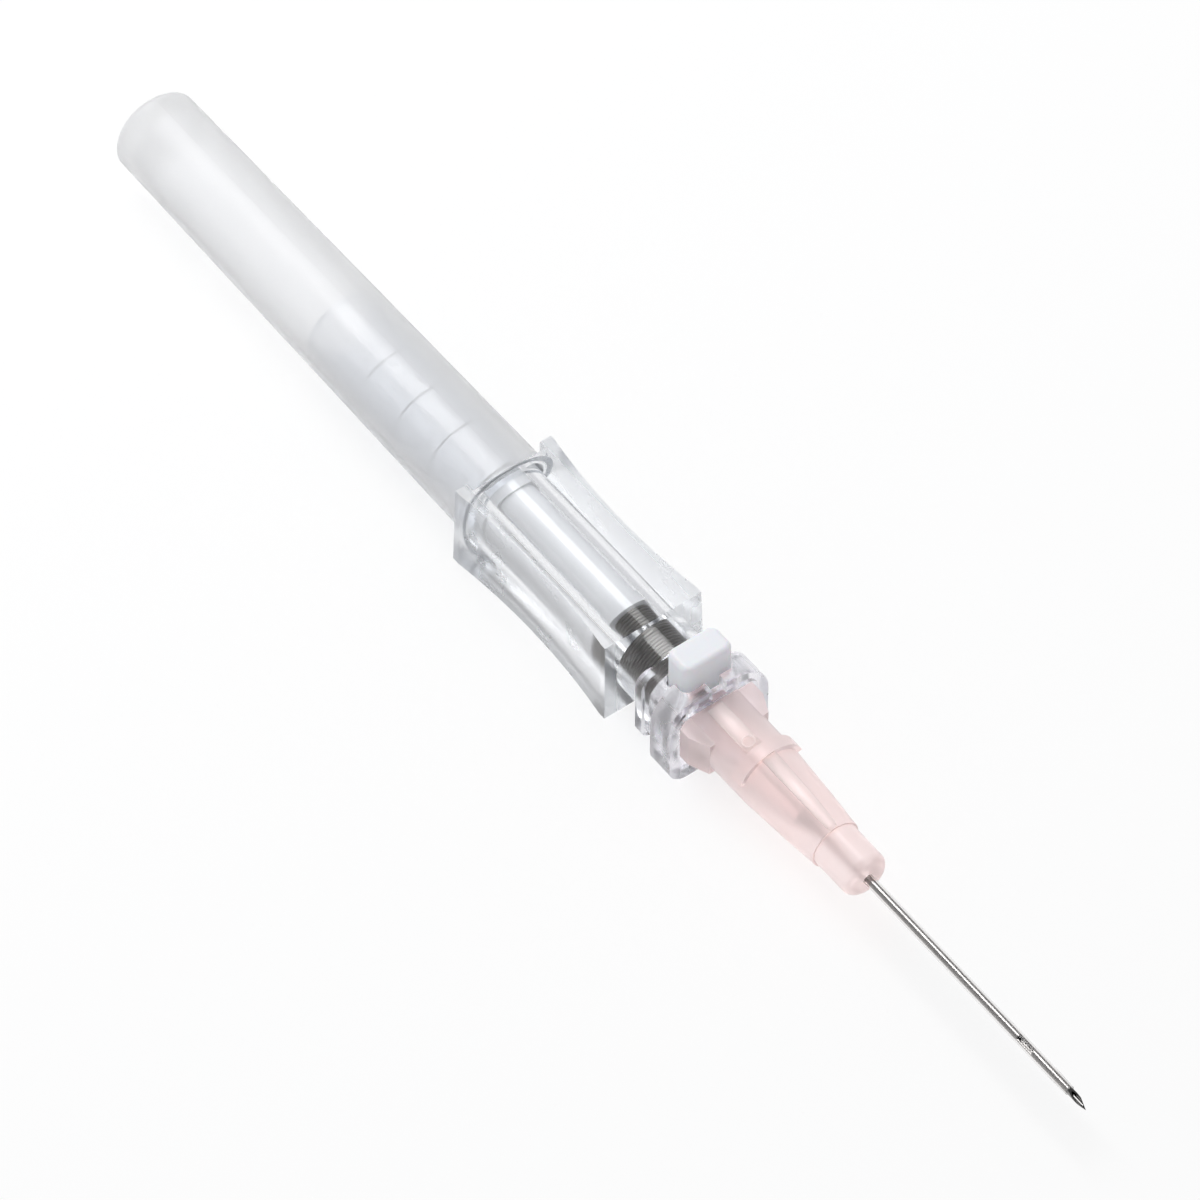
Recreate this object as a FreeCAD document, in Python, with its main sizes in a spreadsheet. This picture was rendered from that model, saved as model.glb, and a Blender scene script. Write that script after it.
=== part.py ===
# IV cannula, 20 gauge: a catheter on a needle, with a button that lets a spring pull the needle back.
# Every piece lies along +X, from the barrel's closed end to the needle's tip, and +Z is up, on the
# button's side. The origin is on the surface that the cannula lies on, under the middle of its length.
import FreeCAD, Part
import Sketcher
import math
import os

# Driving dimensions, in millimetres unless the note says otherwise
DIMENSIONS = [
    ("axis_height", 5.45, "needle axis above the surface that the cannula lies on"),
    ("barrel_length", 60.7, "closed end to mouth"),
    ("barrel_rear_radius", 4.78, "outside, at the closed end"),
    ("barrel_mouth_radius", 5.3, "outside, at the mouth"),
    ("barrel_wall", 0.75, "side wall"),
    ("barrel_end_wall", 2.8, "closed end"),
    ("barrel_end_rounding", 0.8, "outer edge of the closed end"),
    ("sleeve_length", 27.6, "the grip housing's sleeve inside the barrel"),
    ("sleeve_radius", 4.15, "outside"),
    ("chamber_radius", 3.65, "bore that the needle carrier runs in"),
    ("rib_first", 7.3, "sleeve's rear end to its first ring rib"),
    ("rib_pitch", 5.75, "one ring rib to the next"),
    ("rib_width", 1.4, "ring rib, along the axis"),
    ("rib_clearance", 0.03, "ring rib to barrel"),
    ("grip_length", 24.6, "finger block"),
    ("grip_width", 12.0, "finger block at its lower face"),
    ("grip_height", 10.5, "finger block"),
    ("grip_depth", 5.45, "finger block below the axis"),
    ("grip_waist", 0.8, "depth of the hollow in each side"),
    ("grip_land", 0.9, "straight stretch at each end of a side"),
    ("grip_draft", 1.4, "degrees that each side leans in towards the top"),
    ("barrel_seat", 1.2, "recess in the finger block for the barrel's mouth"),
    ("seat_clearance", 0.03, "barrel's mouth to its recess"),
    ("mouth_window_width", 8.8, "where that recess is open at the top"),
    ("mouth_window_height", 3.0, "foot of that opening, above the axis"),
    ("neck_length", 3.4, "finger block to rear flange"),
    ("neck_radius", 4.45, "round neck"),
    ("flange_thickness", 1.0, "rear flange"),
    ("flange_width", 9.8, "rear flange"),
    ("flange_depth", 5.1, "rear flange below the axis"),
    ("frame_length", 2.7, "latch frame, from the rear flange to the collar"),
    ("frame_width", 9.0, "latch frame"),
    ("frame_depth", 4.7, "latch frame below the axis"),
    ("collar_length", 3.1, "front collar"),
    ("collar_width", 11.8, "front collar"),
    ("collar_depth", 5.45, "front collar below the axis"),
    ("collar_top", 5.5, "front collar above the axis"),
    ("collar_corner", 2.2, "collar's lower corners"),
    ("collar_shoulder", 4.5, "collar's upper corners, which make it an arch"),
    ("corner_radius", 1.5, "corners of the flange and frame"),
    ("deck_height", 3.9, "top of the flange and frame, above the axis"),
    ("slot_setback", 1.7, "rear flange to the latch plate's slot"),
    ("notch_width", 1.7, "notch in the collar's front wall, in front of the button"),
    ("hub_recess_width", 9.4, "recess in the collar for the hub's base"),
    ("hub_recess_height", 7.2, "recess in the collar for the hub's base"),
    ("hub_recess_corner", 1.5, "corners of that recess"),
    ("hub_recess_depth", 0.9, "recess in the collar for the hub's base"),
    ("nose_length", 5.3, "nose that the hub sits on, from the recess's floor"),
    ("nose_radius", 2.1, "nose at its base"),
    ("luer_slope", 0.03, "radius lost for each millimetre of length, a 6 percent taper"),
    ("needle_exit_radius", 0.6, "hole through the nose"),
    ("spring_wire", 0.34, "wire diameter"),
    ("spring_mean_radius", 3.05, "to the middle of the wire"),
    ("spring_pitch", 0.37, "one turn to the next, compressed"),
    ("spring_turns", 21, "number of turns"),
    ("spring_seat_gap", 0.05, "each end of the spring to its seat"),
    ("seat_setback", 4.7, "finger block's front face to the spring's front seat"),
    ("carrier_inset", 0.6, "barrel's mouth to the carrier's rear end"),
    ("carrier_flange_length", 1.4, "flange that the spring pushes"),
    ("carrier_guide_length", 1.2, "guide ring at the rear"),
    ("carrier_running_gap", 0.07, "flange and guide ring to the chamber's bore"),
    ("carrier_tube_radius", 3.3, "outside"),
    ("carrier_wall", 0.7, "flash chamber"),
    ("carrier_floor", 2.0, "flash chamber's front wall"),
    ("stem_radius", 1.5, "stem inside the spring"),
    ("stem_bore_gap", 0.25, "stem and latch head to the housing"),
    ("latch_neck_radius", 0.85, "groove that the latch plate holds"),
    ("latch_head_radius", 1.35, "head in front of the latch plate"),
    ("latch_head_length", 1.2, "head in front of the latch plate"),
    ("latch_gap", 0.15, "latch plate to the head, the stem and its slot"),
    ("plate_thickness", 1.2, "latch plate"),
    ("plate_width", 4.8, "latch plate"),
    ("plate_depth", 2.8, "latch plate below the axis"),
    ("keyhole_clearance", 0.12, "keyhole to the neck and the head"),
    ("button_travel", 1.4, "button, pressed"),
    ("cap_setback", 0.95, "cap's rear face behind the latch plate"),
    ("cap_length", 3.5, "button's cap, along the axis"),
    ("cap_width", 5.8, "button's cap"),
    ("cap_top", 8.3, "button's cap above the axis"),
    ("cap_clearance", 0.1, "button's cap to its pocket's floor, when pressed"),
    ("cap_overlap", 0.2, "button's cap inside its pocket, at rest"),
    ("cap_side_gap", 0.2, "button's cap to its pocket's sides"),
    ("cap_corner", 1.0, "cap's corners, seen from above"),
    ("cap_rounding", 0.6, "cap's top edge"),
    ("plug_length", 3.0, "vent plug"),
    ("plug_inset", 0.4, "vent plug inside the chamber's mouth"),
    ("plug_clearance", 0.02, "vent plug to the chamber's bore"),
    ("needle_radius", 0.37, "outside"),
    ("needle_bore_radius", 0.23, "inside"),
    ("needle_rear", 3.2, "needle behind the flange's front face"),
    ("needle_exposure", 2.4, "needle's tip beyond the catheter's tip"),
    ("bevel_length", 2.6, "ground point"),
    ("lancet_length", 1.2, "side facets that bring the point together"),
    ("notch_back", 7.6, "needle's tip to the notch's front end"),
    ("notch_length", 2.2, "flash notch"),
    ("notch_depth", 0.26, "flash notch"),
    ("bead_radius", 0.9, "adhesive bead on the latch head"),
    ("bead_length", 0.5, "adhesive bead on the latch head"),
    ("bead_clearance", 0.01, "bead and carrier to the needle"),
    ("hub_clearance", 0.1, "hub's base to the recess's floor"),
    ("luer_clearance", 0.05, "hub's bore to the nose"),
    ("hub_length", 23.8, "base to nose"),
    ("ear_width", 8.9, "across the two ears at the hub's base"),
    ("ear_height", 4.2, "ears, up and down"),
    ("ear_length", 1.8, "straight part of the ears"),
    ("ear_ramp_length", 2.1, "from the ears down to the body"),
    ("hub_body_radius", 3.5, "behind the tab"),
    ("hub_body_length", 8.9, "hub's base to the front of the tab"),
    ("hub_shoulder_radius", 3.45, "in front of the tab"),
    ("hub_waist_length", 14.6, "hub's base to the middle of the taper"),
    ("hub_waist_radius", 3.08, "middle of the taper"),
    ("hub_step_length", 18.8, "hub's base to the step behind the tip"),
    ("hub_step_radius", 2.72, "behind the step"),
    ("hub_tip_radius", 2.5, "in front of the step"),
    ("hub_tip_rounding", 0.9, "hub's front edge"),
    ("tab_length", 1.5, "push-off tab, along the axis"),
    ("tab_radius", 3.95, "push-off tab"),
    ("tab_foot", 1.4, "tab's two feet, above the axis"),
    ("luer_socket_length", 8.8, "tapered socket in the hub"),
    ("funnel_length", 5.5, "socket's end to the tube's seat"),
    ("tube_seat_radius", 1.25, "wide end of the tube's seat"),
    ("tube_seat_length", 3.0, "cone that the tube's flared end lies in"),
    ("tube_seat_clearance", 0.02, "tube to hub, and wedge to tube"),
    ("catheter_length", 30.0, "tube in front of the hub"),
    ("catheter_radius", 0.55, "outside"),
    ("catheter_wall", 0.12, "tube wall"),
    ("catheter_tip_length", 2.5, "tapered tip"),
    ("catheter_tip_wall", 0.05, "wall at the very tip"),
    ("flare_margin", 0.3, "wide end of the seat to the flared tube's end"),
    ("wedge_length", 1.6, "metal wedge in the flared tube"),
    ("wedge_thickness", 0.12, "metal wedge in the flared tube"),
]
RIB_COUNT = 3

doc = FreeCAD.newDocument("iv_cannula")
sheet = doc.addObject("Spreadsheet::Sheet", "Dims")


class Size:
    """A number together with the sheet expression that gives it."""

    def __init__(self, value, text):
        self.value = value
        self.text = text

    def __add__(self, other):
        other = as_size(other)
        return Size(self.value + other.value, f"({self.text} + {other.text})")

    def __sub__(self, other):
        other = as_size(other)
        return Size(self.value - other.value, f"({self.text} - {other.text})")

    def __mul__(self, other):
        other = as_size(other)
        return Size(self.value * other.value, f"({self.text} * {other.text})")

    def __truediv__(self, other):
        other = as_size(other)
        return Size(self.value / other.value, f"({self.text} / {other.text})")

    def __neg__(self):
        return Size(-self.value, f"(0 - {self.text})")


def as_size(item):
    """A Size, from a Size or a plain number."""
    return item if isinstance(item, Size) else Size(float(item), str(item))


def fill_sheet():
    """Write the driving dimensions to the sheet and return them by name."""
    sizes = {}
    for row, (alias, value, note) in enumerate(DIMENSIONS, start=1):
        sheet.set(f"A{row}", alias)
        sheet.set(f"B{row}", str(value))
        sheet.setAlias(f"B{row}", alias)
        sheet.set(f"C{row}", note)
        sizes[alias] = Size(float(value), f"Dims.{alias}")
    doc.recompute()
    return sizes


D = fill_sheet()

# Places along the axis, counted from the barrel's closed end
sleeve_rear = D["barrel_length"] - D["sleeve_length"]
grip_rear = D["barrel_length"] - D["barrel_seat"]
grip_front = grip_rear + D["grip_length"]
spring_seat = grip_front + D["seat_setback"]
flange_rear = grip_front + D["neck_length"]
frame_rear = flange_rear + D["flange_thickness"]
slot_rear = frame_rear + D["slot_setback"]
plate_rear = slot_rear + D["latch_gap"]
slot_length = D["plate_thickness"] + D["latch_gap"] * 2
collar_rear = frame_rear + D["frame_length"]
collar_front = collar_rear + D["collar_length"]
recess_floor = collar_front - D["hub_recess_depth"]
nose_front = recess_floor + D["nose_length"]
spring_length = D["spring_pitch"] * D["spring_turns"] + D["spring_wire"]
carrier_front_face = spring_seat - spring_length - D["spring_seat_gap"] * 2
carrier_rear = D["barrel_length"] + D["carrier_inset"]
stem_length = plate_rear - D["latch_gap"] - carrier_front_face
head_rear = plate_rear + D["plate_thickness"] + D["latch_gap"]
head_front = head_rear + D["latch_head_length"]
hub_rear = recess_floor + D["hub_clearance"]
hub_front = hub_rear + D["hub_length"]
needle_tip = hub_front + D["catheter_length"] + D["needle_exposure"]
needle_rear_end = carrier_front_face - D["needle_rear"]
half_length = needle_tip / 2

# Radii and heights that follow from the sizes
barrel_bore_rear = D["barrel_rear_radius"] - D["barrel_wall"]
barrel_slope = (D["barrel_mouth_radius"] - D["barrel_rear_radius"]) / D["barrel_length"]
seat_radius = D["barrel_mouth_radius"] + D["seat_clearance"]
carrier_ring_radius = D["chamber_radius"] - D["carrier_running_gap"]
chamber_bore = D["carrier_tube_radius"] - D["carrier_wall"]
head_bore = D["latch_head_radius"] + D["stem_bore_gap"]
stem_bore = D["stem_radius"] + D["stem_bore_gap"]
cap_bottom = D["deck_height"] - D["cap_overlap"]
cap_rear = plate_rear - D["cap_setback"]
needle_hole = D["needle_radius"] + D["bead_clearance"]
tube_hole = D["catheter_radius"] + D["tube_seat_clearance"]


def barrel_bore_at(place):
    """Radius of the barrel's bore at a place along the axis."""
    return barrel_bore_rear + barrel_slope * place


def new_body(name, rear):
    """A body whose own origin is on the axis, at a place counted from the barrel's closed end."""
    body = doc.addObject("PartDesign::Body", name)
    body.Label = name
    body.setExpression("Placement.Base.x", (rear - half_length).text)
    body.setExpression("Placement.Base.z", D["axis_height"].text)
    return body


def new_sketch(body, name, role, offset=None):
    """A sketch on one of the body's origin planes, moved along the plane's normal if asked."""
    sketch = body.newObject("Sketcher::SketchObject", name)
    plane = next(f for f in body.Origin.OriginFeatures if f.Role == role)
    sketch.AttachmentSupport = [(plane, "")]
    sketch.MapMode = "FlatFace"
    if offset is not None:
        sketch.setExpression("AttachmentOffset.Base.z", as_size(offset).text)
    return sketch


def tie(sketch, kind, references, size):
    """Add a dimension to a sketch and bind it to the sheet."""
    size = as_size(size)
    index = sketch.addConstraint(Sketcher.Constraint(kind, *references, size.value))
    sketch.setExpression(f"Constraints[{index}]", size.text)


def tie_coordinate(sketch, kind, axis, geometry, point, size):
    """Hold one coordinate of a point; a zero puts the point on the sketch's axis."""
    size = as_size(size)
    if size.value == 0:
        sketch.addConstraint(Sketcher.Constraint("PointOnObject", geometry, point, axis))
    elif size.value > 0:
        tie(sketch, kind, (-1, 1, geometry, point), size)
    else:
        tie(sketch, kind, (geometry, point, -1, 1), -size)


def tie_point(sketch, geometry, point, across, up):
    """Hold both coordinates of a point."""
    tie_coordinate(sketch, "DistanceX", -2, geometry, point, across)
    tie_coordinate(sketch, "DistanceY", -1, geometry, point, up)


def outline(sketch, points):
    """A closed outline of straight lines, with every corner tied to its sizes."""
    corners = [FreeCAD.Vector(as_size(x).value, as_size(y).value) for x, y in points]
    count = len(corners)
    for index in range(count):
        sketch.addGeometry(Part.LineSegment(corners[index], corners[(index + 1) % count]))
    for index in range(count):
        sketch.addConstraint(Sketcher.Constraint("Coincident", index, 2, (index + 1) % count, 1))
    for index, (across, up) in enumerate(points):
        tie_point(sketch, index, 1, across, up)


def circle(sketch, radius, up=0):
    """A circle centred on the sketch's vertical axis."""
    centre = FreeCAD.Vector(0, as_size(up).value)
    index = sketch.addGeometry(Part.Circle(centre, FreeCAD.Vector(0, 0, 1), as_size(radius).value))
    tie_point(sketch, index, 3, 0, up)
    tie(sketch, "Radius", (index,), radius)


def rounded_rectangle(sketch, left, right, low, high, radius, high_radius=None):
    """A rectangle with round corners, given by its sides; its two high corners may differ."""
    high_radius = high_radius or radius
    x0, x1 = as_size(left).value, as_size(right).value
    y0, y1 = as_size(low).value, as_size(high).value
    r0, r1 = radius.value, high_radius.value
    quarter = math.pi / 2
    centres = [(x0 + r0, y0 + r0, r0), (x1 - r0, y0 + r0, r0), (x1 - r1, y1 - r1, r1), (x0 + r1, y1 - r1, r1)]
    arcs = []
    for turn, (x, y, r) in enumerate(centres, start=2):
        full = Part.Circle(FreeCAD.Vector(x, y), FreeCAD.Vector(0, 0, 1), r)
        arcs.append(Part.ArcOfCircle(full, turn * quarter, (turn + 1) * quarter))
    for arc in arcs:
        sketch.addGeometry(arc)
    for index in range(4):
        following = (index + 1) % 4
        line = sketch.addGeometry(Part.LineSegment(arcs[index].EndPoint, arcs[following].StartPoint))
        sketch.addConstraint(Sketcher.Constraint("Tangent", index, 2, line, 1))
        sketch.addConstraint(Sketcher.Constraint("Tangent", line, 2, following, 1))
        sketch.addConstraint(Sketcher.Constraint(("Horizontal", "Vertical")[index % 2], line))
    for index, size in ((0, radius), (2, high_radius)):
        sketch.addConstraint(Sketcher.Constraint("Equal", index, index + 1))
        tie(sketch, "Radius", (index,), size)
    tie_coordinate(sketch, "DistanceY", -1, 4, 1, low)
    tie_coordinate(sketch, "DistanceX", -2, 5, 1, right)
    tie_coordinate(sketch, "DistanceY", -1, 6, 1, high)
    tie_coordinate(sketch, "DistanceX", -2, 7, 1, left)


def centred_section(sketch, width, low, high, radius, high_radius=None):
    """A rounded rectangle with equal halves to the left and right of the axis."""
    rounded_rectangle(sketch, -(width / 2), width / 2, low, high, radius, high_radius)


def revolve(body, name, points, cut=False):
    """Turn an outline of (place along the axis, radius) points about the needle axis."""
    sketch = new_sketch(body, name + "_outline", "XZ_Plane")
    outline(sketch, points)
    feature = body.newObject("PartDesign::Groove" if cut else "PartDesign::Revolution", name)
    feature.Profile = sketch
    feature.ReferenceAxis = (sketch, ["H_Axis"])
    feature.Angle = 360
    return feature


def extrude(body, name, sketch, length, cut=False):
    """Add or cut along the sketch's normal."""
    feature = body.newObject("PartDesign::Pocket" if cut else "PartDesign::Pad", name)
    feature.Profile = sketch
    feature.Reversed = cut
    feature.setExpression("Length", as_size(length).text)
    return feature


def round_edges(body, name, base, wanted, radius):
    """Fillet the edges of a feature that a test picks."""
    doc.recompute()
    names = [f"Edge{i}" for i, edge in enumerate(base.Shape.Edges, start=1) if wanted(edge)]
    fillet = body.newObject("PartDesign::Fillet", name)
    fillet.Base = (base, names)
    fillet.setExpression("Radius", radius.text)
    return fillet


def is_ring(edge, place, radius):
    """Whether an edge is a whole circle about the axis, at a place and of a radius."""
    box = edge.BoundBox
    flat = box.XLength < 1e-4 and abs(box.XMin - place.value) < 1e-3
    return flat and abs(box.ZMax - radius.value) < 1e-3 and abs(box.ZMin + radius.value) < 1e-3


def make_barrel():
    """Clear tube, closed at the rear, which the needle is pulled back into."""
    body = new_body("barrel", as_size(0))
    end = D["barrel_end_wall"]
    shell = revolve(body, "shell", [
        (0, 0),
        (0, D["barrel_rear_radius"]),
        (D["barrel_length"], D["barrel_mouth_radius"]),
        (D["barrel_length"], barrel_bore_at(D["barrel_length"])),
        (end, barrel_bore_at(end)),
        (end, 0),
    ])
    rounding = D["barrel_end_rounding"]
    round_edges(body, "rounded_end", shell,
                lambda edge: is_ring(edge, as_size(0), D["barrel_rear_radius"]), rounding)
    return body


def grip_outline(sketch, start):
    """The finger block seen from above: straight ends and hollow sides."""
    half = D["grip_width"] / 2
    land_rear = start + D["grip_land"]
    end = start + D["grip_length"]
    land_front = end - D["grip_land"]
    half_chord = (land_front - land_rear) / 2
    hollow_radius = (half_chord * half_chord + D["grip_waist"] * D["grip_waist"]) / (D["grip_waist"] * 2)
    waist = half - D["grip_waist"]
    middle = (land_rear + land_front) / 2
    corners = [
        (land_rear, -half), (start, -half), (start, half), (land_rear, half),
        (land_front, half), (end, half), (end, -half), (land_front, -half),
    ]
    points = [FreeCAD.Vector(x.value, y.value) for x, y in corners]
    waists = {3: FreeCAD.Vector(middle.value, waist.value), 7: FreeCAD.Vector(middle.value, -waist.value)}
    for index in range(8):
        following = points[(index + 1) % 8]
        if index in waists:
            hollow = Part.Arc(points[index], waists[index], following)
            sketch.addGeometry(hollow)
        else:
            sketch.addGeometry(Part.LineSegment(points[index], following))
    # An arc runs anticlockwise in a sketch, so each hollow's own ends are found by place
    for index in range(8):
        following = (index + 1) % 8
        end_point = nearest_end(sketch, index, points[following])
        start_point = nearest_end(sketch, following, points[following])
        sketch.addConstraint(Sketcher.Constraint("Coincident", index, end_point, following, start_point))
    for index in range(8):
        tie_point(sketch, index, nearest_end(sketch, index, points[index]), *corners[index])
    for index in waists:
        tie(sketch, "Radius", (index,), hollow_radius)


def nearest_end(sketch, geometry, point):
    """1 or 2, for the end of a line or arc that lies at a point."""
    start = sketch.Geometry[geometry].StartPoint
    return 1 if start.distanceToPoint(point) < 1e-6 else 2


def make_grip_housing():
    """One clear moulding: sleeve, finger block, neck, flanges, latch frame, collar and nose."""
    body = new_body("grip_housing", sleeve_rear)
    block_start = grip_rear - sleeve_rear
    block_end = grip_front - sleeve_rear
    flange_start = flange_rear - sleeve_rear
    frame_start = frame_rear - sleeve_rear
    slot_start = slot_rear - sleeve_rear
    collar_start = collar_rear - sleeve_rear
    collar_end = collar_front - sleeve_rear
    floor = recess_floor - sleeve_rear
    nose_end = nose_front - sleeve_rear

    # Sleeve with ring ribs that hold the barrel, then the neck, still solid
    core = [(0, 0), (0, D["sleeve_radius"])]
    for rib in range(RIB_COUNT):
        rib_start = D["rib_first"] + D["rib_pitch"] * rib
        rib_end = rib_start + D["rib_width"]
        rib_radius = barrel_bore_at(sleeve_rear + rib_start) - D["rib_clearance"]
        core += [(rib_start, D["sleeve_radius"]), (rib_start, rib_radius)]
        core += [(rib_end, rib_radius), (rib_end, D["sleeve_radius"])]
    core += [
        (block_start + D["barrel_seat"], D["sleeve_radius"]),
        (block_start + D["barrel_seat"], D["neck_radius"]),
        (flange_start, D["neck_radius"]),
        (flange_start, 0),
    ]
    revolve(body, "core", core)

    # Finger block, standing on its lower face with its sides leaning in
    sketch = new_sketch(body, "block_outline", "XY_Plane", -D["grip_depth"])
    grip_outline(sketch, block_start)
    block = extrude(body, "block", sketch, D["grip_height"])
    block.setExpression("TaperAngle", (-D["grip_draft"]).text)

    # Rear flange and latch frame with one flat top, and the arched collar
    corner = D["corner_radius"]
    deck = D["deck_height"]
    sections = [
        ("flange", flange_start, D["flange_thickness"], D["flange_width"], D["flange_depth"], deck, corner, corner),
        ("frame", frame_start, D["frame_length"], D["frame_width"], D["frame_depth"], deck, corner, corner),
        ("collar", collar_start, D["collar_length"], D["collar_width"], D["collar_depth"], D["collar_top"],
         D["collar_corner"], D["collar_shoulder"]),
    ]
    for name, start, length, width, depth, top, low_corner, high_corner in sections:
        sketch = new_sketch(body, name + "_section", "YZ_Plane", start)
        centred_section(sketch, width, -depth, top, low_corner, high_corner)
        extrude(body, name, sketch, length)

    # Recess for the hub's base, and the tapered nose that stands in it
    sketch = new_sketch(body, "recess_section", "YZ_Plane", floor)
    recess_half = D["hub_recess_height"] / 2
    centred_section(sketch, D["hub_recess_width"], -recess_half, recess_half, D["hub_recess_corner"])
    extrude(body, "recess", sketch, D["hub_recess_depth"], cut=True)
    revolve(body, "nose", [
        (collar_start, 0),
        (collar_start, D["nose_radius"]),
        (floor, D["nose_radius"]),
        (nose_end, D["nose_radius"] - D["luer_slope"] * D["nose_length"]),
        (nose_end, 0),
    ])

    # Chamber for the spring and carrier, and the stepped bore through the nose
    seat = spring_seat - sleeve_rear
    head_end = head_front + D["latch_gap"] - sleeve_rear
    cone_end = head_end + head_bore - D["needle_exit_radius"]
    head_start = slot_start + slot_length
    revolve(body, "bore", [
        (0, 0),
        (0, D["chamber_radius"]),
        (seat, D["chamber_radius"]),
        (seat, stem_bore),
        (head_start, stem_bore),
        (head_start, head_bore),
        (head_end, head_bore),
        (cone_end, D["needle_exit_radius"]),
        (nose_end, D["needle_exit_radius"]),
        (nose_end, 0),
    ], cut=True)

    # Recess for the barrel's mouth, round the sleeve
    revolve(body, "mouth_recess", [
        (block_start, D["sleeve_radius"]),
        (block_start, seat_radius),
        (block_start + D["barrel_seat"], seat_radius),
        (block_start + D["barrel_seat"], D["sleeve_radius"]),
    ], cut=True)
    window_half = D["mouth_window_width"] / 2
    sketch = new_sketch(body, "window_section", "YZ_Plane", block_start)
    outline(sketch, [(-window_half, D["mouth_window_height"]), (window_half, D["mouth_window_height"]),
                     (window_half, D["grip_height"]), (-window_half, D["grip_height"])])
    extrude(body, "window", sketch, D["barrel_seat"], cut=True)

    # Pocket for the button's cap
    room = D["cap_side_gap"]
    cap_half = D["cap_width"] / 2
    cap_start = cap_rear - sleeve_rear
    pocket_floor = cap_bottom - D["button_travel"] - D["cap_clearance"]
    sketch = new_sketch(body, "pocket_outline", "XY_Plane", pocket_floor)
    rounded_rectangle(sketch, cap_start - room, cap_start + D["cap_length"] + room,
                      -cap_half - room, cap_half + room, D["cap_corner"])
    extrude(body, "pocket", sketch, D["collar_top"] - pocket_floor, cut=True)

    # Slot for the latch plate, blind at the bottom, and the notch in the front wall
    slot_half = D["plate_width"] / 2 + D["latch_gap"]
    slot_floor = -(D["plate_depth"] + D["button_travel"] + D["latch_gap"])
    sketch = new_sketch(body, "slot_outline", "XY_Plane", slot_floor)
    outline(sketch, [(slot_start, -slot_half), (slot_start, slot_half),
                     (slot_start + slot_length, slot_half), (slot_start + slot_length, -slot_half)])
    extrude(body, "slot", sketch, D["collar_top"] - slot_floor, cut=True)
    notch_half = D["notch_width"] / 2
    notch_start = cap_start + D["cap_length"]
    sketch = new_sketch(body, "notch_outline", "XY_Plane", deck)
    outline(sketch, [(notch_start, -notch_half), (notch_start, notch_half),
                     (collar_end, notch_half), (collar_end, -notch_half)])
    extrude(body, "notch", sketch, D["collar_top"] - deck, cut=True)
    return body


def make_push_button():
    """Button with its latch plate, whose keyhole holds the needle carrier's neck."""
    body = new_body("push_button", plate_rear)
    cap_front = D["cap_length"] - D["cap_setback"]
    cap_half = D["cap_width"] / 2
    sketch = new_sketch(body, "cap_outline", "XY_Plane", cap_bottom)
    rounded_rectangle(sketch, -D["cap_setback"], cap_front, -cap_half, cap_half, D["cap_corner"])
    extrude(body, "cap", sketch, D["cap_top"] - cap_bottom)
    plate_half = D["plate_width"] / 2
    sketch = new_sketch(body, "plate_outline", "YZ_Plane")
    outline(sketch, [(-plate_half, -D["plate_depth"]), (plate_half, -D["plate_depth"]),
                     (plate_half, cap_bottom), (-plate_half, cap_bottom)])
    extrude(body, "plate", sketch, D["plate_thickness"])

    # Keyhole: a round hole that clears the head, above a slot that holds the neck
    sketch = new_sketch(body, "release_hole", "YZ_Plane")
    circle(sketch, D["latch_head_radius"] + D["keyhole_clearance"], D["button_travel"])
    extrude(body, "release", sketch, D["plate_thickness"], cut=True)
    sketch = new_sketch(body, "neck_hole", "YZ_Plane")
    neck_half = D["latch_neck_radius"] + D["keyhole_clearance"]
    circle(sketch, neck_half)
    extrude(body, "neck_round", sketch, D["plate_thickness"], cut=True)
    sketch = new_sketch(body, "neck_slot", "YZ_Plane")
    outline(sketch, [(-neck_half, 0), (neck_half, 0),
                     (neck_half, D["button_travel"]), (-neck_half, D["button_travel"])])
    keyhole = extrude(body, "neck_way", sketch, D["plate_thickness"], cut=True)
    top = D["cap_top"].value
    round_edges(body, "rounded_cap", keyhole,
                lambda edge: abs(edge.BoundBox.ZMin - top) < 1e-4, D["cap_rounding"])
    return body


def make_retraction_spring():
    """Close-wound compression spring between the carrier's flange and its seat in the neck."""
    body = new_body("retraction_spring", spring_seat - D["spring_seat_gap"] - spring_length)
    wire_radius = D["spring_wire"] / 2
    middle = D["spring_mean_radius"]
    sketch = new_sketch(body, "wire_section", "XZ_Plane")
    # The wire is so fine that four sides stand for its round section
    outline(sketch, [(0, middle), (wire_radius, middle + wire_radius),
                     (D["spring_wire"], middle), (wire_radius, middle - wire_radius)])
    coil = body.newObject("PartDesign::AdditiveHelix", "coil")
    coil.Profile = sketch
    coil.ReferenceAxis = (sketch, ["H_Axis"])
    coil.Mode = "pitch-height-angle"
    coil.setExpression("Pitch", D["spring_pitch"].text)
    coil.setExpression("Height", (D["spring_pitch"] * D["spring_turns"]).text)
    return body


def make_needle_carrier():
    """Clear flash chamber with a flange, and a stem whose neck and head the button latches."""
    body = new_body("needle_carrier", carrier_rear)
    ring = carrier_ring_radius
    tube = D["carrier_tube_radius"]
    flange_end = carrier_front_face - carrier_rear
    flange_start = flange_end - D["carrier_flange_length"]
    stem_end = flange_end + stem_length
    head_start = head_rear - carrier_rear
    head_end = head_front - carrier_rear
    chamber_end = flange_end - D["carrier_floor"]
    revolve(body, "turned", [
        (0, chamber_bore),
        (0, ring),
        (D["carrier_guide_length"], ring),
        (D["carrier_guide_length"], tube),
        (flange_start, tube),
        (flange_start, ring),
        (flange_end, ring),
        (flange_end, D["stem_radius"]),
        (stem_end, D["stem_radius"]),
        (stem_end, D["latch_neck_radius"]),
        (head_start, D["latch_neck_radius"]),
        (head_start, D["latch_head_radius"]),
        (head_end, D["latch_head_radius"]),
        (head_end, needle_hole),
        (chamber_end, needle_hole),
        (chamber_end, chamber_bore),
    ])
    return body


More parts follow.
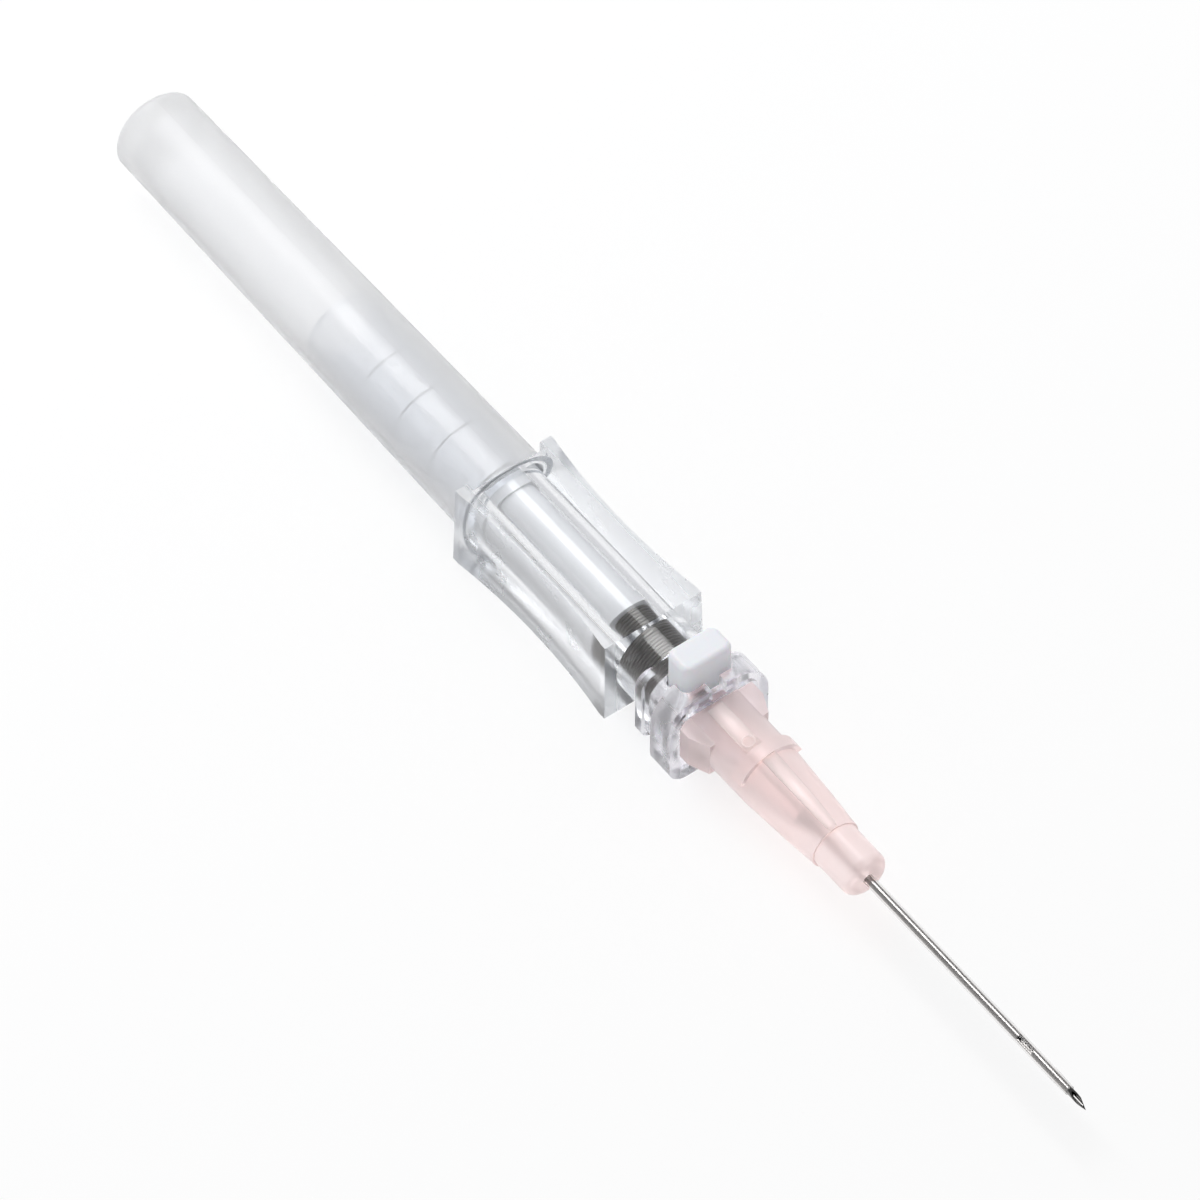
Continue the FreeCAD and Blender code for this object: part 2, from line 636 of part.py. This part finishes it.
def make_vent_plug():
    """Porous plug that lets air out of the flash chamber."""
    body = new_body("vent_plug", carrier_rear + D["plug_inset"])
    radius = chamber_bore - D["plug_clearance"]
    revolve(body, "plug", [(0, 0), (0, radius), (D["plug_length"], radius), (D["plug_length"], 0)])
    return body


def make_needle():
    """Steel tube with a ground point that faces up and a notch that lets blood out behind it."""
    body = new_body("needle", needle_rear_end)
    length = needle_tip - needle_rear_end
    radius = D["needle_radius"]
    revolve(body, "tube", [
        (0, D["needle_bore_radius"]),
        (0, radius),
        (length, radius),
        (length, D["needle_bore_radius"]),
    ])
    bevel = D["bevel_length"]
    reach = radius * 2
    sketch = new_sketch(body, "bevel_outline", "XZ_Plane", -reach)
    outline(sketch, [(length - bevel, radius), (length, -radius),
                     (length + bevel, -radius), (length + bevel, reach), (length - bevel, reach)])
    extrude(body, "bevel", sketch, reach * 2, cut=True)
    for side, name in ((1, "left_facet"), (-1, "right_facet")):
        sketch = new_sketch(body, name + "_outline", "XY_Plane", -reach)
        outline(sketch, [(length - D["lancet_length"], radius * side), (length, 0),
                         (length, reach * side), (length - D["lancet_length"], reach * side)])
        extrude(body, name, sketch, reach * 2, cut=True)
    notch_end = length - D["notch_back"]
    notch_floor = radius - D["notch_depth"]
    sketch = new_sketch(body, "notch_outline", "XZ_Plane", -reach)
    outline(sketch, [(notch_end - D["notch_length"], reach), (notch_end - D["notch_length"], notch_floor),
                     (notch_end, notch_floor), (notch_end, reach)])
    extrude(body, "notch", sketch, reach * 2, cut=True)
    return body


def make_needle_bead():
    """Bead of adhesive that fixes the needle in the latch head."""
    body = new_body("needle_bead", head_front)
    revolve(body, "bead", [
        (0, needle_hole),
        (0, D["bead_radius"]),
        (D["bead_length"] / 2, D["bead_radius"] - D["bead_length"] / 4),
        (D["bead_length"], needle_hole),
    ])
    return body


def make_catheter_hub():
    """Pink hub with a tapered socket, a push-off tab and a seat for the tube's flared end."""
    body = new_body("catheter_hub", hub_rear)
    ramp_end = D["ear_length"] + D["ear_ramp_length"]
    revolve(body, "hub", [
        (0, 0),
        (0, D["hub_body_radius"]),
        (ramp_end, D["hub_body_radius"]),
        (D["hub_body_length"], D["hub_shoulder_radius"]),
        (D["hub_waist_length"], D["hub_waist_radius"]),
        (D["hub_step_length"], D["hub_step_radius"]),
        (D["hub_step_length"], D["hub_tip_radius"]),
        (D["hub_length"], D["hub_tip_radius"]),
        (D["hub_length"], 0),
    ])
    # Two flat-sided ears at the base, ramped down to the body
    ear_half = D["ear_width"] / 2
    sketch = new_sketch(body, "ear_outline", "XY_Plane", -(D["ear_height"] / 2))
    outline(sketch, [(0, -ear_half), (0, ear_half), (D["ear_length"], ear_half),
                     (ramp_end, D["hub_body_radius"]), (ramp_end, -D["hub_body_radius"]),
                     (D["ear_length"], -ear_half)])
    extrude(body, "ears", sketch, D["ear_height"])

    # The tab arches over the top
    tab = D["tab_radius"]
    foot = D["tab_foot"].value
    reach = math.sqrt(tab.value ** 2 - foot ** 2)
    sketch = new_sketch(body, "tab_section", "YZ_Plane", D["hub_body_length"] - D["tab_length"])
    right = FreeCAD.Vector(reach, foot)
    left = FreeCAD.Vector(-reach, foot)
    sketch.addGeometry(Part.Arc(right, FreeCAD.Vector(0, tab.value), left))
    sketch.addGeometry(Part.LineSegment(left, right))
    sketch.addConstraint(Sketcher.Constraint("Coincident", 0, 2, 1, 1))
    sketch.addConstraint(Sketcher.Constraint("Coincident", 1, 2, 0, 1))
    sketch.addConstraint(Sketcher.Constraint("Coincident", 0, 3, -1, 1))
    for end in (1, 2):
        tie_coordinate(sketch, "DistanceY", -1, 0, end, D["tab_foot"])
    tie(sketch, "Radius", (0,), tab)
    extrude(body, "tab", sketch, D["tab_length"])

    # Socket, funnel, tube seat and tube hole
    socket_mouth = D["nose_radius"] + D["luer_clearance"] - D["luer_slope"] * D["hub_clearance"]
    socket_end = D["luer_socket_length"]
    seat_start = socket_end + D["funnel_length"]
    bored = revolve(body, "socket", [
        (0, 0),
        (0, socket_mouth),
        (socket_end, socket_mouth - D["luer_slope"] * socket_end),
        (seat_start, D["tube_seat_radius"]),
        (seat_start + D["tube_seat_length"], tube_hole),
        (D["hub_length"], tube_hole),
        (D["hub_length"], 0),
    ], cut=True)
    round_edges(body, "rounded_tip", bored,
                lambda edge: is_ring(edge, D["hub_length"], D["hub_tip_radius"]), D["hub_tip_rounding"])
    return body


def seat_radius_at(place):
    """Radius of the hub's tube seat, at a distance from its wide end."""
    slope = (D["tube_seat_radius"] - tube_hole) / D["tube_seat_length"]
    return D["tube_seat_radius"] - slope * place


def make_catheter_tube():
    """Soft tube, flared into the hub's seat and tapered at its tip."""
    flare_start = D["flare_margin"]
    seat_start = hub_rear + D["luer_socket_length"] + D["funnel_length"]
    body = new_body("catheter_tube", seat_start + flare_start)
    cone_end = D["tube_seat_length"] - flare_start
    flare_radius = seat_radius_at(flare_start) - D["tube_seat_clearance"]
    tip = hub_front + D["catheter_length"] - seat_start - flare_start
    bore = D["catheter_radius"] - D["catheter_wall"]
    revolve(body, "tube", [
        (0, flare_radius - D["catheter_wall"]),
        (0, flare_radius),
        (cone_end, D["catheter_radius"]),
        (tip - D["catheter_tip_length"], D["catheter_radius"]),
        (tip, bore + D["catheter_tip_wall"]),
        (tip, bore),
        (cone_end, bore),
    ])
    return body


def make_catheter_wedge():
    """Thin metal funnel that holds the tube's flared end in the hub."""
    flare_start = D["flare_margin"]
    seat_start = hub_rear + D["luer_socket_length"] + D["funnel_length"]
    body = new_body("catheter_wedge", seat_start + flare_start)
    lining = D["tube_seat_clearance"] * 2 + D["catheter_wall"]
    cone = D["wedge_length"]
    wide = seat_radius_at(flare_start) - lining
    narrow = seat_radius_at(flare_start + cone) - lining
    revolve(body, "funnel", [
        (0, wide - D["wedge_thickness"]),
        (0, wide),
        (cone, narrow),
        (cone, narrow - D["wedge_thickness"]),
    ])
    return body


PIECES = [
    make_barrel, make_grip_housing, make_push_button, make_retraction_spring, make_needle_carrier,
    make_vent_plug, make_needle, make_needle_bead, make_catheter_hub, make_catheter_tube,
    make_catheter_wedge,
]


def check_document(bodies):
    """Stop if any object failed or any piece is not one valid solid."""
    for item in doc.Objects:
        if "Invalid" in item.State or "Error" in item.State:
            raise RuntimeError(f"{item.Name} failed: {item.State}")
    for body in bodies:
        shape = body.Shape
        if shape.isNull() or not shape.isValid() or len(shape.Solids) != 1:
            raise RuntimeError(f"{body.Label} is not one valid solid")


def main():
    bodies = [make() for make in PIECES]
    doc.recompute()
    check_document(bodies)
    os.makedirs("parts", exist_ok=True)
    for body in bodies:
        body.Shape.exportStep(f"parts/{body.Label}.step")
        box = body.Shape.BoundBox
        print(f"{body.Label}: x {box.XMin:.2f} to {box.XMax:.2f}, y {box.YMin:.2f} to {box.YMax:.2f}, "
              f"z {box.ZMin:.2f} to {box.ZMax:.2f}, volume {body.Shape.Volume:.1f}")


main()
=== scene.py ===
import math

import bpy
from mathutils import Matrix, Vector


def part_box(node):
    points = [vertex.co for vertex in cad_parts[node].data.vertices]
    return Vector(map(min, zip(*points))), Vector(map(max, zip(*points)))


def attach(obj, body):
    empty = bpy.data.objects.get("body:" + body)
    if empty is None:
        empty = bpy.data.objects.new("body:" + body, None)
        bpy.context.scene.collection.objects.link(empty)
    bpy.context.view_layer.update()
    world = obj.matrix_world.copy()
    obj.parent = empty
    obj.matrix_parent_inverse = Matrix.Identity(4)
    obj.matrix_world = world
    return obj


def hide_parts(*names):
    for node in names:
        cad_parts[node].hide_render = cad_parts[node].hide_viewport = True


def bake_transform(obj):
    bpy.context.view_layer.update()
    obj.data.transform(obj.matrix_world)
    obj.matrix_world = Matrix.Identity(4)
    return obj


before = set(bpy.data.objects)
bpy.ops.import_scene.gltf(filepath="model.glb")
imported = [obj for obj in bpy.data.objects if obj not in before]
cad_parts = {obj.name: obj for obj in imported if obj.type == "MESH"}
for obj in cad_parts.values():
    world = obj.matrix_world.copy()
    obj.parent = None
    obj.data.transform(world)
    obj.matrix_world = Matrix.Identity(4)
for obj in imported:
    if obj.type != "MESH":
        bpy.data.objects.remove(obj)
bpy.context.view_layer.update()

MM = 0.001
AXIS = Vector((1, 0, 0))
AXIS_HEIGHT = 5.45 * MM


# Nodes and materials

# The clear moulding is hazier from here on along its length and out to its sides
HAZE_START = 12.5 * MM
HAZE_END = 14.0 * MM
FLANK_START = 3.6 * MM
FLANK_END = 4.6 * MM
COLLAR_HAZE = 0.11
FLANK_HAZE = 0.18
# A ray that has gone further than this inside clear plastic gets out
MOST_REFLECTIONS = 2.5
MOST_CROSSINGS = 8.5


class Shader:
    """A material whose Principled shader's sockets are set by name, with helpers for node chains."""

    def __init__(self, name, **sockets):
        self.material = bpy.data.materials.new(name)
        self.material.use_nodes = True
        self.tree = self.material.node_tree
        self.principled = self.tree.nodes["Principled BSDF"]
        self.position = self.add("ShaderNodeTexCoord").outputs["Object"]
        for socket, value in sockets.items():
            self.principled.inputs[socket.replace("_", " ")].default_value = value

    def add(self, kind, inputs=None, **settings):
        """A node of this kind. An input's value is a number, a colour or another node's output."""
        node = self.tree.nodes.new(kind)
        for key, value in settings.items():
            setattr(node, key, value)
        for key, value in (inputs or {}).items():
            self.set(node.inputs[key], value)
        return node

    def set(self, socket, value):
        if isinstance(value, bpy.types.NodeSocket):
            self.tree.links.new(value, socket)
        else:
            socket.default_value = value

    def combine(self, operation, first, second=0.0):
        """One step of arithmetic on two values."""
        return self.add("ShaderNodeMath", {0: first, 1: second}, operation=operation).outputs[0]

    def noise(self, scale, detail=3.0, stretch=(1, 1, 1)):
        """Noise in the object's own space, with features about 1/scale of a metre wide."""
        mapping = self.add("ShaderNodeMapping", {"Vector": self.position, "Scale": stretch})
        inputs = {"Vector": mapping.outputs["Vector"], "Scale": scale, "Detail": detail}
        return self.add("ShaderNodeTexNoise", inputs).outputs["Fac"]

    def ranged(self, value, low, high, start=0.0, end=1.0):
        """A value between start and end turned into one between low and high."""
        inputs = {"Value": value, "From Min": start, "From Max": end, "To Min": low, "To Max": high}
        return self.add("ShaderNodeMapRange", inputs).outputs["Result"]

    def varied_colour(self, value, first, second):
        node = self.add("ShaderNodeMix", data_type="RGBA")
        self.set(node.inputs[0], value)
        self.set(node.inputs[6], first)
        self.set(node.inputs[7], second)
        self.set(self.principled.inputs["Base Color"], node.outputs[2])

    def roughness(self, value):
        self.set(self.principled.inputs["Roughness"], value)

    def bump(self, height, distance):
        normal = self.add("ShaderNodeBump", {"Height": height, "Distance": distance}).outputs["Normal"]
        self.set(self.principled.inputs["Normal"], normal)

    def mix_surface(self, share, other):
        """The surface is the Principled shader, with this share of the other shader."""
        mix = self.add("ShaderNodeMixShader", {0: share, 1: self.principled.outputs[0], 2: other.outputs[0]})
        self.set(self.tree.nodes["Material Output"].inputs["Surface"], mix.outputs[0])

    def let_light_through(self, tint):
        """Lamps shine through to what lies inside, and a ray that keeps reflecting inside gets out."""
        path = self.add("ShaderNodeLightPath")
        caught = self.combine("GREATER_THAN", path.outputs["Glossy Depth"], MOST_REFLECTIONS)
        deep = self.combine("GREATER_THAN", path.outputs["Ray Depth"], MOST_CROSSINGS)
        either = self.combine("MAXIMUM", caught, deep)
        share = self.combine("MAXIMUM", either, path.outputs["Is Shadow Ray"])
        self.mix_surface(share, self.add("ShaderNodeBsdfTransparent", {"Color": tint}))


def moulded_clear():
    """Clear moulding: polished on top, hazier at the flanks and the collar, with a faint flow ripple."""
    shader = Shader("moulded_clear", Transmission_Weight=0.985, IOR=1.45)
    place = shader.add("ShaderNodeSeparateXYZ", {0: shader.position})
    forward = shader.ranged(place.outputs["X"], 0, 1, HAZE_START, HAZE_END)
    sideways = shader.combine("ABSOLUTE", place.outputs["Y"])
    flank = shader.ranged(sideways, 0, 1, FLANK_START, FLANK_END)
    shader.varied_colour(forward, (0.942, 0.952, 0.97, 1), (0.94, 0.925, 0.965, 1))
    polish = shader.ranged(shader.noise(300), 0.07, 0.13)
    collar_haze = shader.ranged(forward, 0, COLLAR_HAZE)
    haze = shader.combine("MAXIMUM", collar_haze, shader.ranged(flank, 0, FLANK_HAZE))
    shader.roughness(shader.combine("ADD", polish, haze))
    shader.bump(shader.noise(180, 2.0, (0.4, 1, 1)), 0.01 * MM)
    shader.let_light_through((0.93, 0.945, 0.965, 1))
    return shader.material


def hazy_clear():
    """The barrel's thinner, hazier plastic."""
    shader = Shader("hazy_clear", Transmission_Weight=0.8, IOR=1.27, Specular_IOR_Level=0.25,
                    Base_Color=(0.9, 0.902, 0.907, 1))
    shader.roughness(shader.ranged(shader.noise(250), 0.3, 0.38))
    shader.bump(shader.noise(150, 2.0, (0.3, 1, 1)), 0.01 * MM)
    shader.let_light_through((0.8, 0.805, 0.81, 1))
    return shader.material


def white_moulding():
    """White button, matt, with the faint grain of a sparked mould."""
    shader = Shader("white_moulding", Subsurface_Weight=0.3, Subsurface_Scale=0.6 * MM, Roughness=0.42)
    shader.varied_colour(shader.noise(400), (0.82, 0.84, 0.89, 1), (0.86, 0.88, 0.91, 1))
    shader.bump(shader.noise(9000, 1.0), 0.006 * MM)
    return shader.material


def frosted_moulding():
    """The carrier's milky plastic."""
    shader = Shader("frosted_moulding", Transmission_Weight=0.35, IOR=1.5, Roughness=0.35)
    shader.varied_colour(shader.noise(350), (0.83, 0.825, 0.815, 1), (0.88, 0.875, 0.865, 1))
    shader.bump(shader.noise(5000, 2.0), 0.003 * MM)
    shader.let_light_through((0.6, 0.6, 0.61, 1))
    return shader.material


def filter_plug():
    """Porous white plug: pressed grains."""
    shader = Shader("filter_plug", Roughness=0.8)
    shader.varied_colour(shader.noise(3000, 4.0), (0.8, 0.8, 0.79, 1), (0.93, 0.93, 0.92, 1))
    shader.bump(shader.noise(6000), 0.03 * MM)
    return shader.material


def spring_wire():
    """Drawn steel wire, its base colour kept dark as painted shade for its dark flanks."""
    shader = Shader("spring_wire", Metallic=1.0)
    # Painted shade: the dark base colour darkens the whole coil, flanks included
    shader.varied_colour(shader.noise(900), (0.075, 0.066, 0.056, 1), (0.105, 0.094, 0.08, 1))
    shader.roughness(shader.ranged(shader.noise(1500), 0.26, 0.36))
    return shader.material


def polished_steel():
    """Needle: drawn along its length, so its fine marks run that way."""
    shader = Shader("polished_steel", Metallic=1.0)
    shader.varied_colour(shader.noise(1200), (0.29, 0.285, 0.28, 1), (0.38, 0.375, 0.37, 1))
    marks = shader.noise(4000, 3.0, (0.03, 1, 1))
    shader.roughness(shader.ranged(marks, 0.14, 0.26))
    shader.bump(marks, 0.002 * MM)
    return shader.material


def cured_adhesive():
    """The bead's yellowish, half-clear resin."""
    shader = Shader("cured_adhesive", Transmission_Weight=0.7, IOR=1.5, Roughness=0.2)
    shader.varied_colour(shader.noise(2500), (0.85, 0.83, 0.76, 1), (0.93, 0.91, 0.86, 1))
    return shader.material


def pink_moulding(name, first, second):
    """Translucent pink moulding with a silky surface."""
    shader = Shader(name, Transmission_Weight=0.6, IOR=1.42)
    shader.varied_colour(shader.noise(300), first, second)
    shader.roughness(shader.ranged(shader.noise(700), 0.28, 0.36))
    shader.bump(shader.noise(900, 2.0), 0.002 * MM)
    shader.let_light_through((0.94, 0.84, 0.82, 1))
    return shader.material


def catheter_tubing():
    """Thin clear tubing drawn over the needle."""
    shader = Shader("catheter_tubing", Transmission_Weight=1.0, IOR=1.35, Base_Color=(0.93, 0.92, 0.915, 1))
    marks = shader.noise(2000, 2.0, (0.05, 1, 1))
    shader.roughness(shader.ranged(marks, 0.05, 0.12))
    return shader.material


def dress_nodes():
    """Each CAD node gets its own finish."""
    steel = polished_steel()
    finishes = {
        "barrel": hazy_clear(),
        "grip_housing": moulded_clear(),
        "push_button": white_moulding(),
        "retraction_spring": spring_wire(),
        "needle_carrier": frosted_moulding(),
        "vent_plug": filter_plug(),
        "needle": steel,
        "needle_bead": cured_adhesive(),
        "catheter_hub": pink_moulding("pink_moulding", (1, 0.885, 0.88, 1), (1, 0.905, 0.895, 1)),
        "catheter_tube": catheter_tubing(),
        "catheter_wedge": steel,
    }
    for name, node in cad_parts.items():
        node.data.materials.clear()
        node.data.materials.append(finishes[name])
    return finishes


# Mesh pieces

def new_piece(name, points, faces, finish):
    """A smooth mesh in this finish, in the scene."""
    mesh = bpy.data.meshes.new(name)
    mesh.from_pydata(points, [], faces)
    mesh.shade_smooth()
    mesh.materials.append(finish)
    piece = bpy.data.objects.new(name, mesh)
    bpy.context.scene.collection.objects.link(piece)
    return piece


def strip_faces(sections, sides):
    """Faces round a section that is repeated along a path, with a cap at each end.

    The section runs anticlockwise, seen from the path's far end, so that the faces look outward.
    """
    faces = [tuple(reversed(range(sides)))]
    for section in range(sections - 1):
        here = section * sides
        there = here + sides
        for side in range(sides):
            following = (side + 1) % sides
            faces.append((here + side, here + following, there + following, there + side))
    last = (sections - 1) * sides
    faces.append(tuple(range(last, last + sides)))
    return faces


# The spring, with round wire

WIRE_DIAMETER = 0.34 * MM
SPRING_TURNS = 21
STEPS_A_TURN = 56
WIRE_SIDES = 12
WIRE_SQUARENESS = 0.55


def make_spring(finish):
    """Close-wound coil of slightly flattened wire, where the CAD has its own."""
    low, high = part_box("retraction_spring")
    wire = WIRE_DIAMETER / 2
    middle = (high.y - low.y) / 2 - wire
    centre_z = (high.z + low.z) / 2
    first = low.x + wire
    rise = (high.x - low.x - WIRE_DIAMETER) / SPRING_TURNS
    section = []
    for side in range(WIRE_SIDES):
        around = 2 * math.pi * side / WIRE_SIDES
        section.append([math.copysign(abs(part) ** WIRE_SQUARENESS, part) * wire
                        for part in (math.cos(around), -math.sin(around))])
    sections = SPRING_TURNS * STEPS_A_TURN + 1
    points = []
    for step in range(sections):
        turn = step / STEPS_A_TURN
        angle = 2 * math.pi * turn
        outward = Vector((0, math.cos(angle), math.sin(angle)))
        centre = Vector((first + rise * turn, 0, centre_z)) + outward * middle
        for out, along in section:
            points.append(centre + outward * out + AXIS * along)
    coil = new_piece("spring_coil", points, strip_faces(sections, WIRE_SIDES), finish)
    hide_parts("retraction_spring")
    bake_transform(coil)


# The flat rib along the hub's top, with the small ring on it: sizes in mm

HUB_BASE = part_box("catheter_hub")[0].x
# Distance from the hub's base, radius of the hub there and half of the rib's width
REAR_RIB = [(1.1, 3.5, 0.86), (1.3, 3.5, 0.9), (3.9, 3.5, 0.9), (7.5, 3.46, 0.9)]
FRONT_RIB = [(8.8, 3.45, 0.8), (14.6, 3.08, 0.7), (18.3, 2.77, 0.55), (18.7, 2.73, 0.4)]
REAR_RIB_LEAN = math.radians(-13)
FRONT_RIB_LEAN = math.radians(-5)
RIB_HEIGHT = 0.24
RIB_CORNER = 0.1
RIB_SINK = 0.02
RING_PLACE = 6.4
RING_RADIUS = 0.62
RING_THICKNESS = 0.1
RING_STEPS = 32
RING_SIDES = 8


def hub_point(along, across, up, lean):
    """A point measured from the hub's base and axis, and turned about the axis by the lean."""
    y = across * math.cos(lean) + up * math.sin(lean)
    z = up * math.cos(lean) - across * math.sin(lean)
    return (HUB_BASE + along * MM, y * MM, AXIS_HEIGHT + z * MM)


def add_to_hub(name, points, faces, finish):
    """A mesh piece that belongs to the hub and moves with it."""
    piece = new_piece(name, points, faces, finish)
    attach(piece, "catheter")


def make_rib(name, stations, lean, finish):
    """Flat-topped strip, its underside just inside the hub's surface."""
    points = []
    for distance, radius, half in stations:
        foot = math.sqrt(radius ** 2 - half ** 2) - RIB_SINK
        top = radius + RIB_HEIGHT
        shoulder = top - RIB_CORNER
        inner = half - RIB_CORNER
        section = [(0, radius - RIB_SINK), (half, foot), (half, shoulder), (inner, top),
                   (-inner, top), (-half, shoulder), (-half, foot)]
        points += [hub_point(distance, across, up, lean) for across, up in section]
    add_to_hub(name, points, strip_faces(len(stations), len(section)), finish)


def make_ring(finish):
    """The moulding mark: a small raised ring on the rear rib."""
    height = REAR_RIB[-1][1] + RIB_HEIGHT
    points = []
    faces = []
    for step in range(RING_STEPS):
        around = 2 * math.pi * step / RING_STEPS
        here = step * RING_SIDES
        there = (step + 1) % RING_STEPS * RING_SIDES
        for side in range(RING_SIDES):
            turn = 2 * math.pi * side / RING_SIDES
            reach = RING_RADIUS + RING_THICKNESS * math.cos(turn)
            along = RING_PLACE + reach * math.cos(around)
            up = height + RING_THICKNESS * math.sin(turn)
            points.append(hub_point(along, reach * math.sin(around), up, REAR_RIB_LEAN))
            following = (side + 1) % RING_SIDES
            faces.append((here + side, there + side, there + following, here + following))
    add_to_hub("hub_ring", points, faces, finish)


# Floor and light

FLOOR_HALF = 1.5
FLOOR_HEIGHT = -0.05 * MM
FLOOR_GLOW = 0.72
FILL_COLOUR = (0.985, 0.988, 1, 1)
FILL_STRENGTH = 0.55
# Sine of the height above the horizon, and the room's brightness there, as gloss and clear plastic see it
GLOSS_BANDS = [(0.0, 0.5), (0.2, 0.3), (0.4, 0.12), (0.9, 0.12)]
CLEAR_BANDS = [(0.0, 0.85), (0.12, 0.68), (0.3, 0.72), (0.55, 0.7), (0.75, 0.55)]
BAND_BLUE = 1.02
SOFTBOX_LENGTH = 0.42
SOFTBOX_WIDTH = 0.36
SOFTBOX_POWER = 2.1
SOFTBOX_DISTANCE = 0.6
SOFTBOX_DIRECTION = Vector((-0.51, 0.02, 0.86))


def make_floor():
    """White floor that keeps the object's soft shadow."""
    shader = Shader("floor_paint", Roughness=0.9, Base_Color=(0.97, 0.97, 0.97, 1))
    path = shader.add("ShaderNodeLightPath")
    seen = shader.combine("MAXIMUM", path.outputs["Is Camera Ray"], path.outputs["Is Transmission Ray"])
    seen = shader.combine("MAXIMUM", seen, path.outputs["Is Glossy Ray"])
    glow = shader.add("ShaderNodeEmission", {"Color": (1, 1, 1, 1), "Strength": 1.0})
    shader.mix_surface(shader.combine("MULTIPLY", seen, FLOOR_GLOW), glow)
    corners = [(x * FLOOR_HALF, y * FLOOR_HALF, 0) for x, y in ((-1, -1), (1, -1), (1, 1), (-1, 1))]
    floor = new_piece("floor", corners, [(0, 1, 2, 3)], shader.material)
    floor.location.z = FLOOR_HEIGHT


def add_bands(nodes, links, direction, levels):
    """A surrounding whose brightness changes with the height above the horizon."""
    bands = nodes.new("ShaderNodeValToRGB")
    bands.color_ramp.elements[0].position = levels[0][0]
    bands.color_ramp.elements[1].position = levels[-1][0]
    for height, _ in levels[1:-1]:
        bands.color_ramp.elements.new(height)
    for element, (_, level) in zip(bands.color_ramp.elements, levels):
        element.color = (level, level, level * BAND_BLUE, 1)
    links.new(direction.outputs["Z"], bands.inputs[0])
    room = nodes.new("ShaderNodeBackground")
    links.new(bands.outputs["Color"], room.inputs["Color"])
    return room


def make_world():
    """Even fill for the surfaces. Gloss sees a dark room, clear plastic a lighter one."""
    world = bpy.data.worlds.new("studio")
    bpy.context.scene.world = world
    world.use_nodes = True
    nodes = world.node_tree.nodes
    links = world.node_tree.links
    path = nodes.new("ShaderNodeLightPath")
    fill = nodes["Background"]
    fill.inputs["Color"].default_value = FILL_COLOUR
    fill.inputs["Strength"].default_value = FILL_STRENGTH
    direction = nodes.new("ShaderNodeSeparateXYZ")
    links.new(nodes.new("ShaderNodeTexCoord").outputs["Generated"], direction.inputs[0])
    white = nodes.new("ShaderNodeBackground")
    white.inputs["Color"].default_value = (1, 1, 1, 1)
    surroundings = {
        "Is Glossy Ray": add_bands(nodes, links, direction, GLOSS_BANDS),
        "Is Transmission Ray": add_bands(nodes, links, direction, CLEAR_BANDS),
        "Is Camera Ray": white,
    }
    result = fill
    for ray, surrounding in surroundings.items():
        mix = nodes.new("ShaderNodeMixShader")
        links.new(path.outputs[ray], mix.inputs[0])
        links.new(result.outputs[0], mix.inputs[1])
        links.new(surrounding.outputs[0], mix.inputs[2])
        result = mix
    links.new(result.outputs[0], nodes["World Output"].inputs["Surface"])


def make_softbox():
    """One large box overhead, towards the barrel's end."""
    lamp = bpy.data.lights.new("softbox", "AREA")
    lamp.shape = "RECTANGLE"
    lamp.size = SOFTBOX_LENGTH
    lamp.size_y = SOFTBOX_WIDTH
    lamp.energy = SOFTBOX_POWER
    box = bpy.data.objects.new("softbox", lamp)
    bpy.context.scene.collection.objects.link(box)
    direction = SOFTBOX_DIRECTION.normalized()
    side = AXIS.cross(direction).normalized()
    along = direction.cross(side)
    axes = Matrix((along, side, direction)).transposed().to_4x4()
    box.matrix_world = Matrix.Translation(direction * SOFTBOX_DISTANCE) @ axes


# Camera

IMAGE_PIXELS = 1200
FOCAL_PIXELS = 7850
SENSOR_WIDTH = 36
CAMERA_TARGET = Vector((0.82, -0.21, 5.45)) * MM
CAMERA_DISTANCE = 755.8 * MM
CAMERA_ELEVATION = math.radians(51.93)
CAMERA_AZIMUTH = math.radians(53.17)
NEAREST_SEEN = 0.05
FURTHEST_SEEN = 10


def make_camera():
    """Long lens from the needle's side, as in the photograph."""
    data = bpy.data.cameras.new("camera")
    data.sensor_width = SENSOR_WIDTH
    data.lens = FOCAL_PIXELS / IMAGE_PIXELS * SENSOR_WIDTH
    data.clip_start = NEAREST_SEEN
    data.clip_end = FURTHEST_SEEN
    camera = bpy.data.objects.new("camera", data)
    bpy.context.scene.collection.objects.link(camera)
    level = math.cos(CAMERA_ELEVATION)
    back = Vector((level * math.sin(CAMERA_AZIMUTH),
                   -level * math.cos(CAMERA_AZIMUTH),
                   math.sin(CAMERA_ELEVATION)))
    camera.location = CAMERA_TARGET + back * CAMERA_DISTANCE
    camera.rotation_euler = (-back).to_track_quat("-Z", "Y").to_euler()
    bpy.context.scene.camera = camera


finishes = dress_nodes()
make_spring(finishes["retraction_spring"])
# The rib and ring are raised strips on the hub; their paler pink is a painted highlight along the hub's top
highlight_pale_pink = pink_moulding("pink_painted_highlight", (0.985, 0.94, 0.935, 1), (0.99, 0.96, 0.955, 1))
make_rib("hub_rear_rib", REAR_RIB, REAR_RIB_LEAN, highlight_pale_pink)
make_rib("hub_front_rib", FRONT_RIB, FRONT_RIB_LEAN, highlight_pale_pink)
make_ring(highlight_pale_pink)
make_floor()
make_world()
make_softbox()
make_camera()
bpy.context.scene.view_settings.view_transform = "Standard"
